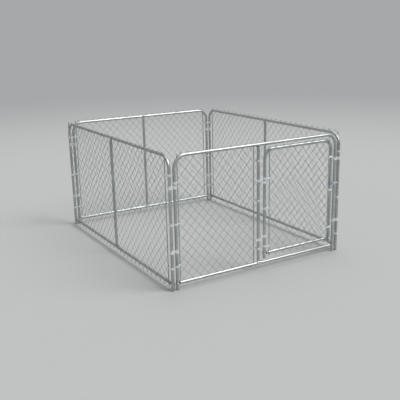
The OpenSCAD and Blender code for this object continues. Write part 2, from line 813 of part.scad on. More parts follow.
on_right() upright(-side_span / 2, 0, top_z, corner_r, bottom_rail_z);  // right_front_post
on_right() upright(side_span / 2, 0, top_z, corner_r, bottom_rail_z);  // right_rear_post
on_right() top_rail(0, side_span, top_z, corner_r, [mid_x]);  // right_top_rail
on_right() elbow(-side_span / 2, top_z, corner_r, -1);  // right_front_elbow
on_right() elbow(side_span / 2, top_z, corner_r, 1);  // right_rear_elbow
on_right() bottom_rail(0, side_span, bottom_rail_z, [mid_x]);  // right_bottom_rail
on_right() mid_post(mid_x, SIDE_IN);  // right_mid_post
on_right() wide_mesh(side_span);  // right_mesh
on_right() wide_tension_bars(side_span);  // right_tension_bars

on_rear() upright(front_span / 2, 0, top_z, corner_r, bottom_rail_z);  // rear_left_post
on_rear() upright(-front_span / 2, 0, top_z, corner_r, bottom_rail_z);  // rear_right_post
on_rear() top_rail(0, front_span, top_z, corner_r, [mid_x]);  // rear_top_rail
on_rear() elbow(front_span / 2, top_z, corner_r, 1);  // rear_left_elbow
on_rear() elbow(-front_span / 2, top_z, corner_r, -1);  // rear_right_elbow
on_rear() bottom_rail(0, front_span, bottom_rail_z, [mid_x]);  // rear_bottom_rail
on_rear() mid_post(mid_x, SIDE_IN);  // rear_mid_post
on_rear() wide_mesh(front_span);  // rear_mesh
on_rear() wide_tension_bars(front_span);  // rear_tension_bars

on_front() upright(-front_span / 2, 0, top_z, corner_r, bottom_rail_z);  // front_left_post
on_front() upright(front_span / 2, 0, top_z, corner_r, bottom_rail_z);  // front_right_post
on_front() mid_post(hinge_post_x, SIDE_OUT);  // front_hinge_post
on_front() top_rail(0, front_span, top_z, corner_r, [hinge_post_x]);  // front_top_rail
on_front() elbow(-front_span / 2, top_z, corner_r, -1);  // front_left_elbow
on_front() elbow(front_span / 2, top_z, corner_r, 1);  // front_right_elbow
on_front() bottom_rail(0, front_span, bottom_rail_z, [hinge_post_x]);  // front_bottom_rail
front_mesh();
on_front() tension_bars([-front_span / 2 + bar_offset, hinge_post_x - bar_offset],  // front_tension_bars
        mesh_z0, front_mesh_z1, SIDE_IN);

tension_bands();
band_bolts();
wire_ties();
rail_bolts();
panel_clamps();
clamp_bolts();
post_hinges();

on_front() upright(hinge_stile_x, gate_foot_z, gate_top_z, gate_corner_r, gate_bottom_z);  // gate_hinge_stile
on_front() upright(latch_stile_x, gate_foot_z, gate_top_z, gate_corner_r, gate_bottom_z);  // gate_latch_stile
on_front() top_rail(gate_mid_x, gate_span, gate_top_z, gate_corner_r);  // gate_top_rail
on_front() elbow(hinge_stile_x, gate_top_z, gate_corner_r, -1);  // gate_hinge_elbow
on_front() elbow(latch_stile_x, gate_top_z, gate_corner_r, 1);  // gate_latch_elbow
on_front() bottom_rail(gate_mid_x, gate_span, gate_bottom_z);  // gate_bottom_rail
gate_mesh();
on_front() tension_bars([hinge_stile_x + bar_offset, latch_stile_x - bar_offset],  // gate_tension_bars
        gate_mesh_z0, gate_mesh_z1, SIDE_OUT);
gate_tension_bands();
gate_bolts();
gate_wire_ties();
gate_rail_bolts();
gate_hinges();
latch_collar();
latch_pivot_bolt();
latch_fork();
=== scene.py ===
"""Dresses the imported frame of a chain-link dog kennel run: tubes, woven mesh, fittings and stage."""

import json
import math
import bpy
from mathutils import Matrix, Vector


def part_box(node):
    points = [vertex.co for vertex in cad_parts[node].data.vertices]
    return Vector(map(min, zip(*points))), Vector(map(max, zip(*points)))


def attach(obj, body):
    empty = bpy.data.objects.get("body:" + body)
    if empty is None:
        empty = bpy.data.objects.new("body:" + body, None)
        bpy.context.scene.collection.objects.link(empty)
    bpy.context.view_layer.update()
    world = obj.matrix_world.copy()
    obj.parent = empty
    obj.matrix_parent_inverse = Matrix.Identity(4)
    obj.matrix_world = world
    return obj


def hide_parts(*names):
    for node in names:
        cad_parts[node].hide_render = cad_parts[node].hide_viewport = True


bl_info = {
    "name": "Chain-link dog kennel run",
    "version": (1, 0, 0),
    "blender": (4, 5, 0),
    "location": "View3D > Sidebar > Kennel",
    "description": "Builds a dog kennel run's tubes, woven mesh, fittings and stage on its packed frame",
    "category": "Object",
}

import bmesh
import bpy
from bpy.props import FloatProperty, FloatVectorProperty, IntProperty, PointerProperty
from mathutils import Matrix, Vector

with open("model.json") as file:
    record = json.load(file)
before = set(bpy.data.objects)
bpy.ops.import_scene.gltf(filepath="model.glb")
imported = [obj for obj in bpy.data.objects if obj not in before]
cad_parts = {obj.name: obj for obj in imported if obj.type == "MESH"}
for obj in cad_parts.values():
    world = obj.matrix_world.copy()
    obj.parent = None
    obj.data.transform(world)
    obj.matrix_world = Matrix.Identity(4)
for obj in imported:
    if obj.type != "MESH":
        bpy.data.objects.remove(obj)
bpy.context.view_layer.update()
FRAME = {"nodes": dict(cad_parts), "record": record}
MM = 0.001
X_AXIS = Vector((1, 0, 0))
Y_AXIS = Vector((0, 1, 0))
UP = Vector((0, 0, 1))


def span(points):
    """Lowest and highest corner of some points."""
    return Vector(map(min, *points)), Vector(map(max, *points))


def foot_of(node):
    """Point on the ground below an upright tube's axis."""
    low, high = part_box(node)
    return Vector(((low.x + high.x) / 2, (low.y + high.y) / 2, 0))


class Panel:
    """A tube frame: x runs from its first upright to its last, y to the inside of the run, z up."""

    def __init__(self, name, first, last):
        self.first = f"{name}_{first}"
        self.last = f"{name}_{last}"
        start, end = foot_of(self.first), foot_of(self.last)
        x_axis = (end - start).normalized()
        y_axis = UP.cross(x_axis)
        self.matrix = Matrix((x_axis, y_axis, UP)).transposed().to_4x4()
        self.matrix.translation = start
        self.length = (end - start).length

    def box(self, node):
        """Lowest and highest corner of a node in the panel's own frame."""
        to_panel = self.matrix.inverted()
        return span([to_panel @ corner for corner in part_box(node)])


PANELS = {
    "left": Panel("left", "rear_post", "front_post"),
    "right": Panel("right", "front_post", "rear_post"),
    "rear": Panel("rear", "right_post", "left_post"),
    "front": Panel("front", "left_post", "right_post"),
    "gate": Panel("gate", "hinge_stile", "latch_stile"),
}
BODY_OF = {node: body for body, nodes in FRAME["record"]["behaviour"]["bodies"].items() for node in nodes}
TUBE_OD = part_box("front_left_post")[1].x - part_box("front_left_post")[0].x


# Settings


def amount(name, default, description, **more):
    """A number from nothing up that the user can change."""
    return FloatProperty(name=name, description=description, default=default, min=0, **more)


def length(name, default, description):
    """A size that the user can change, in metres."""
    return amount(name, default, description, precision=5, unit="LENGTH")


def count(name, default, description, least, most):
    """A whole number that the user can change."""
    return IntProperty(name=name, description=description, default=default, min=least, max=most)


def triple(name, default, description, **more):
    """Three numbers that the user can change."""
    return FloatVectorProperty(name=name, description=description, default=default, **more)


def tint(name, default, description):
    """A colour that the user can change."""
    return triple(name, default, description, min=0, max=1, subtype="COLOR")


def heading(name, default, description):
    """A direction in the frame of the run."""
    return triple(name, default, description, subtype="DIRECTION")


class KennelTubes(bpy.types.PropertyGroup):
    """Sizes of the frame tubes."""

    tube_r: length("Tube radius", TUBE_OD / 2, "Outside radius of the frame tubes")
    wall: length("Wall", 1.5 * MM, "Wall of the frame tubes")
    fit: length("Fit", 0.15 * MM, "Clearance between pieces that fit together")
    rim: length("Rim", 0.7 * MM, "Rounding of a tube's cut end")
    corner_r: length("Corner radius", 115 * MM, "Bend radius of the panels' top corners")
    gate_corner_r: length("Gate corner radius", 95 * MM, "Bend radius of the gate's top corners")
    leg: length("Elbow leg", 20 * MM, "Straight leg of an elbow beyond its bend")
    neck: length("Neck", 45 * MM, "Length of an elbow's necked end")
    flat_w: length("Flat width", 36 * MM, "Width of a tube's flattened end")
    flat_run: length("Flat run", 14 * MM, "Length of a flattened end from its bolt to where it opens out")
    flat_slant: length("Flat slant", 13 * MM, "Length over which a flattened end opens into the round tube")
    flat_past: length("Flat past", 11 * MM, "Length of a flattened end past its bolt")
    sides: count("Sides", 40, "Sides of a tube", 12, 96)


class KennelMesh(bpy.types.PropertyGroup):
    """Sizes of the woven mesh and of what ties it to the frame."""

    wire_r: length("Wire radius", 1.45 * MM, "Radius of the mesh wire")
    diamond_w: length("Diamond width", 86 * MM, "Width of one diamond")
    diamond_h: length("Diamond height", 95 * MM, "Height of one diamond")
    hook_gap: length("Hook gap", 2.2 * MM, "Half the depth between a wire's outer and inner legs")
    hook_over: length("Hook overlap", 1.55 * MM, "How far a bend reaches round its neighbour")
    hook_run: length("Hook run", 2.5 * MM, "Length of a bend before the straight leg")
    sway: length("Sway", 3.2 * MM, "How far the wires wander from a true grid")
    tie_r: length("Tie radius", 1.25 * MM, "Radius of the tie wire")
    wire_sides: count("Wire sides", 6, "Sides of the mesh wire", 4, 16)


class KennelFinish(bpy.types.PropertyGroup):
    """Colours of the finishes; the latch collar's colour holds painted shade."""

    tube: tint("Tube", (0.52, 0.54, 0.54), "Galvanised tube")
    wire: tint("Wire", (0.32, 0.35, 0.34), "Galvanised mesh wire")
    fitting: tint("Fitting", (0.89, 0.91, 0.93), "Zinc-plated fittings")
    # The collar's tint, darker and bluer than the fork of the same cast zinc, is painted shade
    collar: tint("Collar", (0.46, 0.50, 0.57), "Cast collar of the latch")
    fork: tint("Fork", (0.70, 0.74, 0.80), "Cast fork of the latch")
    tie: tint("Tie", (0.70, 0.71, 0.71), "Tie wire")
    spangle: amount("Spangle", 0.16, "How strongly the zinc crystals differ", max=1, subtype="FACTOR")
    edge: length("Edge", 0.8 * MM, "Rounding of a fitting's edges")


class KennelStage(bpy.types.PropertyGroup):
    """Camera, floor and light."""

    lens: FloatProperty(name="Lens", description="Focal length in millimetres", default=57.0, min=1)
    eye: triple("Eye", (-3.369, -5.781, 2.235), "Place of the camera", subtype="TRANSLATION")
    forward: heading("Forward", (0.4925, 0.8296, -0.2629), "View direction")
    right: heading("Right", (0.8566, -0.5155, -0.0220), "Image's right")
    floor: tint("Floor", (0.39, 0.40, 0.39), "Floor near the run")
    surroundings: tint("Surroundings", (0.96, 0.98, 1.0), "Colour of the light from all round")
    horizon: amount("Horizon", 0.40, "Strength of the light at eye level")
    zenith: amount("Zenith", 0.56, "Strength of the light overhead")
    key: amount("Key light", 2.35, "Strength of the main light")
    key_from: heading("Key from", (0.44, -0.48, 0.76), "Direction of the main light")
    fill: amount("Fill light", 0.8, "Strength of the second light")
    fill_from: heading("Fill from", (0.15, 0.22, 0.96), "Direction of the second light")


class Kennel(bpy.types.PropertyGroup):
    """All settings of the run."""

    tubes: PointerProperty(type=KennelTubes)
    mesh: PointerProperty(type=KennelMesh)
    finish: PointerProperty(type=KennelFinish)
    stage: PointerProperty(type=KennelStage)


# Finishes

# Each zinc finish: its tint, share of the spangle, fineness of crystals, gloss and dullness of patches
ZINC = {
    "galvanised tube": dict(tint="tube", spangle=1.0, crystal=95.0, rough=0.34, metal=0.88, dull=0.25),
    "galvanised wire": dict(tint="wire", spangle=1.0, crystal=160.0, rough=0.38, metal=0.88, dull=0.3),
    "zinc fittings": dict(tint="fitting", spangle=0.8, crystal=210.0, rough=0.27, metal=0.62, dull=0.12),
    # The cast collar's tint is painted shade: the same cast zinc as the fork, darkened and blued as if in
    # shadow
    "cast collar in painted shade": dict(tint="collar", spangle=0.5, crystal=260.0, rough=0.44, metal=0.82, dull=0.25),
    "cast fork": dict(tint="fork", spangle=0.5, crystal=260.0, rough=0.36, metal=0.72, dull=0.15),
    "drawn tie wire": dict(tint="tie", spangle=0.4, crystal=300.0, rough=0.3, metal=0.92, dull=0.25),
}
# How far the palest crystal departs from the tint, as a share of the darkest one's departure
PALER = 0.55
# How far the brightest and the dullest patches depart from a finish's roughness
SMOOTHER = 0.05
ROUGHER = 0.10


def add_node(nodes, kind, **settings):
    """Adds a node and sets its properties; a key with a leading underscore sets the input of that name."""
    node = nodes.new(kind)
    for key, value in settings.items():
        if key.startswith("_"):
            node.inputs[key[1:].replace("_", " ")].default_value = value
        else:
            setattr(node, key, value)
    return node


def zinc_finish(context, name):
    """Zinc on steel: crystals of slightly different greys, dull patches, and a faintly uneven surface."""
    material = bpy.data.materials.get(name)
    if material:
        return material
    look = ZINC[name]
    colours = context.scene.kennel.finish
    spangle = colours.spangle * look["spangle"]
    material = bpy.data.materials.new(name)
    material.use_nodes = True
    nodes, links = material.node_tree.nodes, material.node_tree.links
    shader = nodes["Principled BSDF"]
    shader.inputs["Metallic"].default_value = look["metal"]
    place = add_node(nodes, "ShaderNodeTexCoord").outputs["Object"]

    crystals = add_node(nodes, "ShaderNodeTexVoronoi", _Scale=look["crystal"])
    links.new(place, crystals.inputs["Vector"])
    grey = add_node(nodes, "ShaderNodeSeparateColor")
    links.new(crystals.outputs["Color"], grey.inputs["Color"])
    level = add_node(nodes, "ShaderNodeMapRange", _To_Min=1 - spangle, _To_Max=1 + spangle * PALER)
    links.new(grey.outputs["Red"], level.inputs["Value"])

    patches = add_node(nodes, "ShaderNodeTexNoise", _Scale=7.0, _Detail=5.0, _Roughness=0.62)
    links.new(place, patches.inputs["Vector"])
    dulling = add_node(
        nodes, "ShaderNodeMapRange", _From_Min=0.35, _From_Max=0.75, _To_Min=1.0, _To_Max=1 - look["dull"]
    )
    links.new(patches.outputs["Fac"], dulling.inputs["Value"])

    both = add_node(nodes, "ShaderNodeMath", operation="MULTIPLY")
    links.new(level.outputs["Result"], both.inputs[0])
    links.new(dulling.outputs["Result"], both.inputs[1])
    shade = add_node(nodes, "ShaderNodeVectorMath", operation="SCALE")
    shade.inputs[0].default_value = getattr(colours, look["tint"])
    links.new(both.outputs[0], shade.inputs["Scale"])
    links.new(shade.outputs["Vector"], shader.inputs["Base Color"])

    polish = add_node(nodes, "ShaderNodeMapRange", _From_Min=0.3, _From_Max=0.75)
    polish.inputs["To Min"].default_value = look["rough"] - SMOOTHER
    polish.inputs["To Max"].default_value = look["rough"] + ROUGHER
    links.new(patches.outputs["Fac"], polish.inputs["Value"])
    links.new(polish.outputs["Result"], shader.inputs["Roughness"])

    grain = add_node(nodes, "ShaderNodeTexNoise", _Scale=420.0, _Detail=3.0)
    links.new(place, grain.inputs["Vector"])
    bump = add_node(nodes, "ShaderNodeBump", _Strength=0.12, _Distance=0.0004)
    links.new(grain.outputs["Fac"], bump.inputs["Height"])
    links.new(bump.outputs["Normal"], shader.inputs["Normal"])
    return material


# Shapes

# Points of a node this close are taken as one, and up to twice as far apart where its edges get rounded
WELD = 0.001 * MM
# Faces of a node that meet within the first angle are one, and beyond the second their edge is rounded
FLAT_ANGLE = math.radians(0.6)
CRISP_ANGLE = math.radians(40)
# Degrees between two faces from which their edge is shaded as a sharp one
SHARP_TUBE = 38
SHARP_BOLT = 42
SHARP_FITTING = 50
SHARP_TIE = 70
SHARP_WIRE = 80


def ring(centre, across, upward, half_w, half_h=None, *, sides, squash=1.0):
    """Points round a tube's section; a squash under 1 flattens its two broad faces."""
    half_h = half_w if half_h is None else half_h
    points = []
    for k in range(sides):
        turn = 2 * math.pi * k / sides
        rise = math.sin(turn)
        rise = math.copysign(abs(rise) ** squash, rise)
        points.append(centre + across * (half_w * math.cos(turn)) + upward * (half_h * rise))
    return points


def loft(rings, closed=False):
    """Skin over a row of rings; closed joins the last ring to the first, or else both ends are capped."""
    rows, sides = len(rings), len(rings[0])
    points = [point for one in rings for point in one]
    faces = []
    for i in range(rows if closed else rows - 1):
        a, b = i * sides, (i + 1) % rows * sides
        for k in range(sides):
            j = (k + 1) % sides
            faces.append((a + k, a + j, b + j, b + k))
    if not closed:
        faces.append(tuple(range(sides - 1, -1, -1)))
        faces.append(tuple(range((rows - 1) * sides, rows * sides)))
    return points, faces


def revolve(profile, sides):
    """Solid turned about z from a profile of (radius, height) that starts and ends on the axis."""
    points, faces = [Vector((0, 0, profile[0][1]))], []
    for radius, height in profile[1:-1]:
        points += ring(Vector((0, 0, height)), X_AXIS, Y_AXIS, radius, sides=sides)
    points.append(Vector((0, 0, profile[-1][1])))
    rows = len(profile) - 2
    for k in range(sides):
        j = (k + 1) % sides
        faces.append((0, 1 + j, 1 + k))
        for i in range(rows - 1):
            a, b = 1 + i * sides, 1 + (i + 1) * sides
            faces.append((a + k, a + j, b + j, b + k))
        last = 1 + (rows - 1) * sides
        faces.append((last + k, last + j, len(points) - 1))
    return points, faces


def drawn_wire(path, radius, sides):
    """Round wire along a path, its section carried along without twist."""
    rings = []
    normal = None
    for i, point in enumerate(path):
        along = (path[min(i + 1, len(path) - 1)] - path[max(i - 1, 0)]).normalized()
        if normal is None:
            normal = along.orthogonal().normalized()
        normal = (normal - along * normal.dot(along)).normalized()
        rings.append(ring(point, normal, along.cross(normal), radius, sides=sides))
    return loft(rings)


def merged(shapes):
    """One shape from several."""
    points, faces = [], []
    for more_points, more_faces in shapes:
        start = len(points)
        points += more_points
        faces += [tuple(start + k for k in face) for face in more_faces]
    return points, faces


def new_object(name, shape, matrix=None):
    """Object with its place in its mesh and its faces turned outwards."""
    mesh = bpy.data.meshes.new(name)
    points, faces = shape
    mesh.from_pydata([matrix @ p if matrix else p for p in points], [], faces)
    shell = bmesh.new()
    shell.from_mesh(mesh)
    bmesh.ops.recalc_face_normals(shell, faces=shell.faces)
    shell.to_mesh(mesh)
    shell.free()
    thing = bpy.data.objects.new(name, mesh)
    bpy.context.scene.collection.objects.link(thing)
    return thing


def finish_piece(piece, node, material, sharp=SHARP_TUBE):
    """Gives a piece its finish and makes it stand for a node of the frame."""
    mesh = piece.data
    mesh.materials.clear()
    mesh.materials.append(material)
    mesh.polygons.foreach_set("material_index", [0] * len(mesh.polygons))
    mesh.polygons.foreach_set("use_smooth", [True] * len(mesh.polygons))
    mesh.set_sharp_from_angle(angle=math.radians(sharp))
    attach(piece, BODY_OF[node])
    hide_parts(node)


def islands(node):
    """The solids of a node, each as a list of its points."""
    shell = bmesh.new()
    shell.from_mesh(FRAME["nodes"][node].data)
    bmesh.ops.remove_doubles(shell, verts=shell.verts, dist=WELD)
    seen, solids = set(), []
    for start in shell.verts:
        if start in seen:
            continue
        seen.add(start)
        group, queue = [], [start]
        while queue:
            vert = queue.pop()
            group.append(vert.co.copy())
            for edge in vert.link_edges:
                other = edge.other_vert(vert)
                if other not in seen:
                    seen.add(other)
                    queue.append(other)
        solids.append(group)
    shell.free()
    return solids


def softened(context, node, material, edge=None):
    """Dresses a node in a copy with its sharp edges rounded, as pressed and cast metal has them."""
    shell = bmesh.new()
    shell.from_mesh(FRAME["nodes"][node].data)
    bmesh.ops.remove_doubles(shell, verts=shell.verts, dist=2 * WELD)
    bmesh.ops.dissolve_limit(shell, angle_limit=FLAT_ANGLE, verts=shell.verts, edges=shell.edges)
    crisp = [e for e in shell.edges if len(e.link_faces) == 2 and e.calc_face_angle() > CRISP_ANGLE]
    bevelled = bmesh.ops.bevel(
        shell,
        geom=crisp,
        offset=edge or context.scene.kennel.finish.edge,
        segments=2,
        profile=0.5,
        affect="EDGES",
        clamp_overlap=True,
    )
    rounded = set(bevelled["faces"])
    shell.edges.index_update()
    rims = [e.index for e in shell.edges if len({face in rounded for face in e.link_faces}) == 2]
    mesh = bpy.data.meshes.new(f"{node}_metal")
    shell.to_mesh(mesh)
    shell.free()
    piece = bpy.data.objects.new(f"{node}_metal", mesh)
    context.scene.collection.objects.link(piece)
    finish_piece(piece, node, material, sharp=SHARP_FITTING)
    for rim in rims:
        mesh.edges[rim].use_edge_sharp = True


# Node trees

# Middle of the noise that lets the wires sway, and the shares of sway along, through and up the mesh
NOISE_MIDDLE = (0.5, 0.5, 0.5)
SWAY_SHARES = (1.0, 0.4, 1.0)


def new_tree(name, inputs):
    """Empty tree with its named inputs, and the two nodes at its ends."""
    tree = bpy.data.node_groups.new(name, "GeometryNodeTree")
    tree.interface.new_socket("Geometry", in_out="INPUT", socket_type="NodeSocketGeometry")
    for label, kind in inputs:
        tree.interface.new_socket(label, in_out="INPUT", socket_type=f"NodeSocket{kind}")
    tree.interface.new_socket("Geometry", in_out="OUTPUT", socket_type="NodeSocketGeometry")
    return tree, tree.nodes.new("NodeGroupInput"), tree.nodes.new("NodeGroupOutput")


def run_tree(piece, tree, settings):
    """Sets a tree's inputs on a piece, and turns what it makes into the piece's plain mesh."""
    modifier = piece.modifiers.new(tree.name, "NODES")
    modifier.node_group = tree
    for socket in tree.interface.items_tree:
        if socket.in_out == "INPUT" and socket.name in settings:
            modifier[socket.identifier] = settings[socket.name]
    bpy.context.view_layer.update()
    made = piece.evaluated_get(bpy.context.evaluated_depsgraph_get())
    mesh = bpy.data.meshes.new_from_object(made)
    piece.modifiers.clear()
    piece.data = mesh


def attribute(nodes, name, kind):
    """Output of a node that reads the points' own value of that name."""
    reader = add_node(nodes, "GeometryNodeInputNamedAttribute", data_type=kind, _Name=name)
    return reader.outputs["Attribute"]


def close_tree(tree, end, start, parts):
    """Joins parts, makes them real and gives them the tree's finish."""
    nodes, links = tree.nodes, tree.links
    together = add_node(nodes, "GeometryNodeJoinGeometry")
    for part in parts:
        links.new(part, together.inputs["Geometry"])
    real = add_node(nodes, "GeometryNodeRealizeInstances")
    links.new(together.outputs["Geometry"], real.inputs["Geometry"])
    coated = add_node(nodes, "GeometryNodeSetMaterial")
    links.new(real.outputs["Geometry"], coated.inputs["Geometry"])
    links.new(start.outputs["Finish"], coated.inputs["Material"])
    links.new(coated.outputs["Geometry"], end.inputs["Geometry"])


def woven_tree():
    """Repeats a pair of bent wires along x, lets them sway a little, and gives them a round section."""
    sizes = [("Pairs", "Int"), ("Pitch", "Vector"), ("Wire Radius", "Float"), ("Sides", "Int")]
    tree, start, end = new_tree("Woven mesh", sizes + [("Sway", "Float"), ("Finish", "Material")])
    nodes, links = tree.nodes, tree.links
    parted = add_node(nodes, "GeometryNodeSeparateGeometry", domain="POINT")
    links.new(start.outputs["Geometry"], parted.inputs["Geometry"])
    links.new(attribute(nodes, "repeat", "BOOLEAN"), parted.inputs["Selection"])
    row = add_node(nodes, "GeometryNodeMeshLine")
    links.new(start.outputs["Pairs"], row.inputs["Count"])
    links.new(start.outputs["Pitch"], row.inputs["Offset"])
    placed = add_node(nodes, "GeometryNodeInstanceOnPoints")
    links.new(row.outputs["Mesh"], placed.inputs["Points"])
    links.new(parted.outputs["Selection"], placed.inputs["Instance"])
    together = add_node(nodes, "GeometryNodeJoinGeometry")
    links.new(placed.outputs["Instances"], together.inputs["Geometry"])
    links.new(parted.outputs["Inverted"], together.inputs["Geometry"])
    real = add_node(nodes, "GeometryNodeRealizeInstances")
    links.new(together.outputs["Geometry"], real.inputs["Geometry"])

    wander = add_node(nodes, "ShaderNodeTexNoise", noise_dimensions="4D", _Scale=5.0, _Detail=1.0, _W=3.7)
    links.new(add_node(nodes, "GeometryNodeInputPosition").outputs["Position"], wander.inputs["Vector"])
    centred = add_node(nodes, "ShaderNodeVectorMath", operation="SUBTRACT")
    centred.inputs[1].default_value = NOISE_MIDDLE
    links.new(wander.outputs["Color"], centred.inputs[0])
    shaped = add_node(nodes, "ShaderNodeVectorMath", operation="MULTIPLY")
    shaped.inputs[1].default_value = SWAY_SHARES
    links.new(centred.outputs["Vector"], shaped.inputs[0])
    scaled = add_node(nodes, "ShaderNodeVectorMath", operation="SCALE")
    links.new(shaped.outputs["Vector"], scaled.inputs[0])
    links.new(start.outputs["Sway"], scaled.inputs["Scale"])
    moved = add_node(nodes, "GeometryNodeSetPosition")
    links.new(real.outputs["Geometry"], moved.inputs["Geometry"])
    links.new(scaled.outputs["Vector"], moved.inputs["Offset"])

    paths = add_node(nodes, "GeometryNodeMeshToCurve")
    links.new(moved.outputs["Geometry"], paths.inputs["Mesh"])
    section = add_node(nodes, "GeometryNodeCurvePrimitiveCircle", mode="RADIUS")
    links.new(start.outputs["Sides"], section.inputs["Resolution"])
    links.new(start.outputs["Wire Radius"], section.inputs["Radius"])
    wires = add_node(nodes, "GeometryNodeCurveToMesh", _Fill_Caps=True)
    links.new(paths.outputs["Curve"], wires.inputs["Curve"])
    links.new(section.outputs["Curve"], wires.inputs["Profile Curve"])
    close_tree(tree, end, start, [wires.outputs["Mesh"]])
    return tree


def placed_shape(tree, start, shape_input, turn, scale=None):
    """Instances of an input object on the tree's points."""
    nodes, links = tree.nodes, tree.links
    info = add_node(nodes, "GeometryNodeObjectInfo")
    links.new(start.outputs[shape_input], info.inputs["Object"])
    placed = add_node(nodes, "GeometryNodeInstanceOnPoints")
    links.new(start.outputs["Geometry"], placed.inputs["Points"])
    links.new(info.outputs["Geometry"], placed.inputs["Instance"])
    links.new(turn, placed.inputs["Rotation"])
    if scale is not None:
        links.new(scale, placed.inputs["Scale"])
    return placed.outputs["Instances"]


def bolt_tree():
    """A head, a shank and a nut at each point, turned and stretched by the point's own values."""
    tree, start, end = new_tree(
        "Bolts", [("Head", "Object"), ("Shank", "Object"), ("Nut", "Object"), ("Finish", "Material")]
    )
    nodes, links = tree.nodes, tree.links
    turn = attribute(nodes, "turn", "FLOAT_VECTOR")
    grip = attribute(nodes, "grip", "FLOAT")
    stretch = add_node(nodes, "ShaderNodeCombineXYZ", _X=1.0, _Y=1.0)
    links.new(grip, stretch.inputs["Z"])
    reach = add_node(nodes, "ShaderNodeCombineXYZ")
    links.new(grip, reach.inputs["Z"])
    heads = placed_shape(tree, start, "Head", turn)
    shanks = placed_shape(tree, start, "Shank", turn, stretch.outputs["Vector"])
    nuts = placed_shape(tree, start, "Nut", turn)
    slid = add_node(nodes, "GeometryNodeTranslateInstances", _Local_Space=True)
    links.new(nuts, slid.inputs["Instances"])
    links.new(reach.outputs["Vector"], slid.inputs["Translation"])
    close_tree(tree, end, start, [heads, shanks, slid.outputs["Instances"]])
    return tree


def tie_tree():
    """One bent tie at each point, turned by the point's own value."""
    tree, start, end = new_tree("Wire ties", [("Tie", "Object"), ("Finish", "Material")])
    ties = placed_shape(tree, start, "Tie", attribute(tree.nodes, "turn", "FLOAT_VECTOR"))
    close_tree(tree, end, start, [ties])
    return tree


def point_cloud(name, points, **values):
    """Object of bare points that carry named values."""
    mesh = bpy.data.meshes.new(name)
    mesh.from_pydata(points, [], [])
    for label, rows in values.items():
        vector = hasattr(rows[0], "__len__")
        layer = mesh.attributes.new(label, "FLOAT_VECTOR" if vector else "FLOAT", "POINT")
        flat = [number for row in rows for number in row] if vector else rows
        layer.data.foreach_set("vector" if vector else "value", flat)
    cloud = bpy.data.objects.new(name, mesh)
    bpy.context.scene.collection.objects.link(cloud)
    return cloud


# Tube frames

# Steps round a bent corner
BEND_STEPS = 18
# Radius of a flattened end's rounded corners, and where their rings stand as shares of it
FLAT_CORNER = 8 * MM
CORNER_RINGS = (0, 0.04, 0.15, 0.35, 0.65, 1.0)
# Steps in which a flattened end opens out, and the share of that way after which it is on the tube's axis
OPENING_STEPS = 10
SEAT_SHARE = 0.85
# How far a flattened end's section is squared
FLAT_SQUASH = 0.62


def straight_tube(tubes, axis_point, along, distance, across):
    """Hollow tube with rounded rims."""
    upward = along.cross(across)
    outer = tubes.tube_r
    bore = outer - tubes.wall
    stations = [
        (0, outer - tubes.rim),
        (tubes.rim, outer),
        (distance - tubes.rim, outer),
        (distance, outer - tubes.rim),
        (distance, bore),
        (0, bore),
    ]
    rings = [ring(axis_point + along * d, across, upward, r, sides=tubes.sides) for d, r in stations]
    return loft(rings, closed=True)


def elbow_shape(tubes, panel, bend_r, top_of_post, at_last):
    """Bent corner tube with its two necked ends, in the panel's frame."""
    outer, rim = tubes.tube_r, tubes.rim
    neck_r = outer - tubes.wall - tubes.fit
    bore = neck_r - tubes.wall
    leg, neck = tubes.leg, tubes.neck
    rows = [
        (0, -neck, 0, neck_r - rim),
        (0, rim - neck, 0, neck_r),
        (0, 0, 0, neck_r),
        (0, 0, 0, outer - rim),
        (0, rim, 0, outer),
        (0, leg, 0, outer),
    ]
    for i in range(1, BEND_STEPS):
        turn = math.pi / 2 * i / BEND_STEPS
        rows.append((bend_r * (1 - math.cos(turn)), leg + bend_r * math.sin(turn), turn, outer))
    last = math.pi / 2
    high = leg + bend_r
    rows += [
        (bend_r, high, last, outer),
        (bend_r + leg - rim, high, last, outer),
        (bend_r + leg, high, last, outer - rim),
        (bend_r + leg, high, last, neck_r),
        (bend_r + leg + neck - rim, high, last, neck_r),
        (bend_r + leg + neck, high, last, neck_r - rim),
    ]
    rows += [(x, z, turn, bore) for x, z, turn, _ in reversed(rows)]
    rings = []
    for x, z, turn, radius in rows:
        along = Vector((math.sin(turn), 0, math.cos(turn)))
        centre = Vector((x, 0, top_of_post + z))
        if at_last:
            centre.x = panel.length - centre.x
            along.x = -along.x
        rings.append(ring(centre, Y_AXIS, along.cross(Y_AXIS), radius, sides=tubes.sides))
    return loft(rings, closed=True)


def add_tube(context, panel, node, shape):
    """Dresses a node of a panel in a tube."""
    material = zinc_finish(context, "galvanised tube")
    finish_piece(new_object(f"{node}_tube", shape, panel.matrix), node, material)


class KENNEL_OT_tube_frames(bpy.types.Operator):
    """Builds the posts, stiles, top rails and bent corners"""

    bl_idname = "kennel.tube_frames"
    bl_label = "Tube frames"

    def execute(self, context):
        tubes = context.scene.kennel.tubes
        for name, panel in PANELS.items():
            bend_r = tubes.gate_corner_r if name == "gate" else tubes.corner_r
            for node, at_last in ((panel.first, False), (panel.last, True)):
                low, high = panel.box(node)
                foot = Vector((panel.length if at_last else 0, 0, low.z))
                add_tube(context, panel, node, straight_tube(tubes, foot, UP, high.z - low.z, Y_AXIS))
                elbow = f"{node.rsplit('_', 1)[0]}_elbow"
                add_tube(context, panel, elbow, elbow_shape(tubes, panel, bend_r, high.z, at_last))
            node = f"{name}_top_rail"
            low, high = panel.box(node)
            start = Vector((low.x, 0, (low.z + high.z) / 2))
            add_tube(context, panel, node, straight_tube(tubes, start, X_AXIS, high.x - low.x, Y_AXIS))
        return {"FINISHED"}


def eased(t):
    """Way from 0 to 1 that starts and ends level."""
    t = min(max(t, 0), 1)
    return t * t * (3 - 2 * t)


